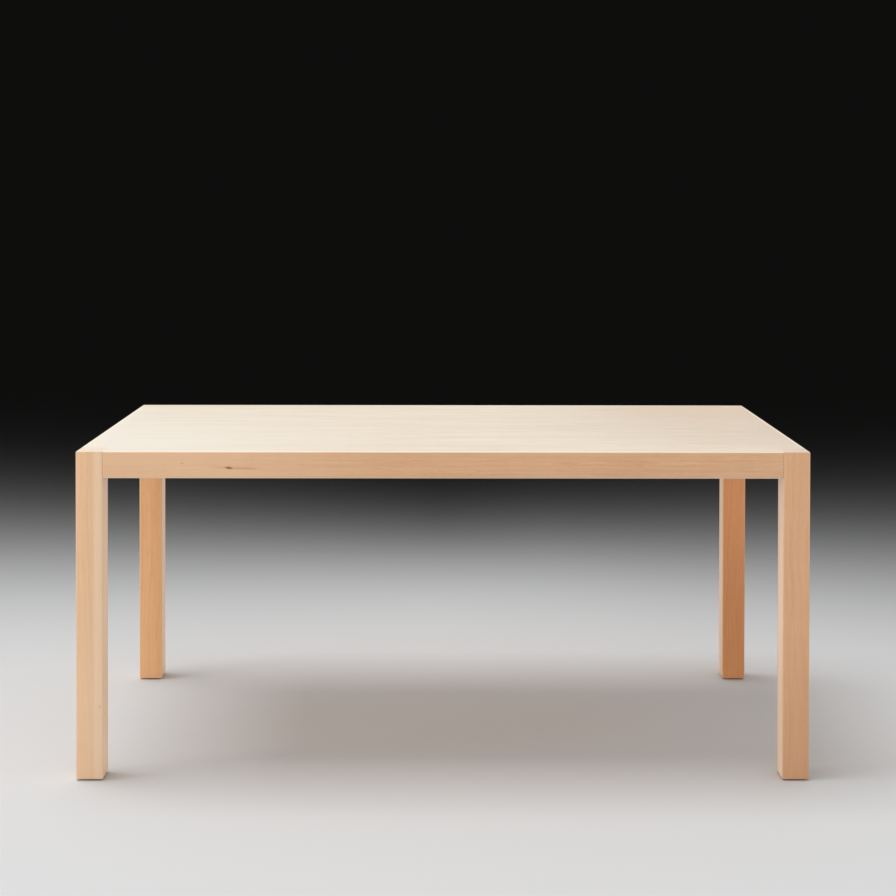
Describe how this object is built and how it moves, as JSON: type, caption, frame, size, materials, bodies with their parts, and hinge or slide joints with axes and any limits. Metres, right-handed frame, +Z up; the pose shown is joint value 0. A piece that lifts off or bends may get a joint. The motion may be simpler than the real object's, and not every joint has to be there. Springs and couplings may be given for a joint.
{
  "type": "banquet table",
  "caption": "Rectangular wooden banquet table with square legs at the corners, a mitre-edged top with flush aprons, bolted corner brackets and levelling glides.",
  "frame": {"origin": "on the floor under the middle of the table top", "axes": "+X along the table's length, +Y from the front to the rear, +Z up"},
  "size_m": [1.6, 0.8, 0.72],
  "materials": {
    "maple_top": "clear satin lacquer on pale fine-grained maple, grain along the length",
    "maple_edge": "clear satin lacquer on maple, grain along the apron",
    "maple_leg": "clear satin lacquer on solid maple, grain up the leg, end grain at the top",
    "birch_ply": "raw birch plywood",
    "beech_batten": "raw planed beech",
    "zinc_steel": "zinc-plated steel",
    "black_plastic": "moulded black nylon"
  },
  "bodies": {
    "table": {"table_top": "maple_top", "front_apron": "maple_edge", "right_apron": "maple_edge", "rear_apron": "maple_edge", "left_apron": "maple_edge", "front_spline": "birch_ply", "right_spline": "birch_ply", "rear_spline": "birch_ply", "left_spline": "birch_ply", "left_batten": "beech_batten", "middle_batten": "beech_batten", "right_batten": "beech_batten", "left_batten_screw_front": "zinc_steel", "left_batten_screw_rear": "zinc_steel", "middle_batten_screw_front": "zinc_steel", "middle_batten_screw_rear": "zinc_steel", "right_batten_screw_front": "zinc_steel", "right_batten_screw_rear": "zinc_steel", "front_left_leg": "maple_leg", "front_left_bracket": "zinc_steel", "front_left_bracket_screw_front": "zinc_steel", "front_left_bracket_screw_left": "zinc_steel", "front_left_hanger_bolt": "zinc_steel", "front_left_washer": "zinc_steel", "front_left_nut": "zinc_steel", "front_left_insert": "zinc_steel", "front_right_leg": "maple_leg", "front_right_bracket": "zinc_steel", "front_right_bracket_screw_right": "zinc_steel", "front_right_bracket_screw_front": "zinc_steel", "front_right_hanger_bolt": "zinc_steel", "front_right_washer": "zinc_steel", "front_right_nut": "zinc_steel", "front_right_insert": "zinc_steel", "rear_right_leg": "maple_leg", "rear_right_bracket": "zinc_steel", "rear_right_bracket_screw_rear": "zinc_steel", "rear_right_bracket_screw_right": "zinc_steel", "rear_right_hanger_bolt": "zinc_steel", "rear_right_washer": "zinc_steel", "rear_right_nut": "zinc_steel", "rear_right_insert": "zinc_steel", "rear_left_leg": "maple_leg", "rear_left_bracket": "zinc_steel", "rear_left_bracket_screw_left": "zinc_steel", "rear_left_bracket_screw_rear": "zinc_steel", "rear_left_hanger_bolt": "zinc_steel", "rear_left_washer": "zinc_steel", "rear_left_nut": "zinc_steel", "rear_left_insert": "zinc_steel"},
    "front_left_pad": {"front_left_glide_pad": "black_plastic"},
    "front_left_stud": {"front_left_glide_stud": "zinc_steel"},
    "front_right_pad": {"front_right_glide_pad": "black_plastic"},
    "front_right_stud": {"front_right_glide_stud": "zinc_steel"},
    "rear_right_pad": {"rear_right_glide_pad": "black_plastic"},
    "rear_right_stud": {"rear_right_glide_stud": "zinc_steel"},
    "rear_left_pad": {"rear_left_glide_pad": "black_plastic"},
    "rear_left_stud": {"rear_left_glide_stud": "zinc_steel"}
  },
  "joints": [
    {"name": "front_left_pad_slide", "type": "slide", "parent": "table", "child": "front_left_pad", "axis": [0, 0, -1], "range_m": [0, 0.01]},
    {"name": "front_left_stud_turn", "type": "hinge", "parent": "front_left_pad", "child": "front_left_stud", "pos_m": [-0.771, -0.371, 0.02], "axis": [0, 0, -1], "range_deg": [0, 2880]},
    {"name": "front_right_pad_slide", "type": "slide", "parent": "table", "child": "front_right_pad", "axis": [0, 0, -1], "range_m": [0, 0.01]},
    {"name": "front_right_stud_turn", "type": "hinge", "parent": "front_right_pad", "child": "front_right_stud", "pos_m": [0.771, -0.371, 0.02], "axis": [0, 0, -1], "range_deg": [0, 2880]},
    {"name": "rear_right_pad_slide", "type": "slide", "parent": "table", "child": "rear_right_pad", "axis": [0, 0, -1], "range_m": [0, 0.01]},
    {"name": "rear_right_stud_turn", "type": "hinge", "parent": "rear_right_pad", "child": "rear_right_stud", "pos_m": [0.771, 0.371, 0.02], "axis": [0, 0, -1], "range_deg": [0, 2880]},
    {"name": "rear_left_pad_slide", "type": "slide", "parent": "table", "child": "rear_left_pad", "axis": [0, 0, -1], "range_m": [0, 0.01]},
    {"name": "rear_left_stud_turn", "type": "hinge", "parent": "rear_left_pad", "child": "rear_left_stud", "pos_m": [-0.771, 0.371, 0.02], "axis": [0, 0, -1], "range_deg": [0, 2880]}
  ],
  "couplings": [
    {"joint": "front_left_pad_slide", "follows": "front_left_stud_turn", "m_per_rad": 0.00019894},
    {"joint": "front_right_pad_slide", "follows": "front_right_stud_turn", "m_per_rad": 0.00019894},
    {"joint": "rear_right_pad_slide", "follows": "rear_right_stud_turn", "m_per_rad": 0.00019894},
    {"joint": "rear_left_pad_slide", "follows": "rear_left_stud_turn", "m_per_rad": 0.00019894}
  ]
}
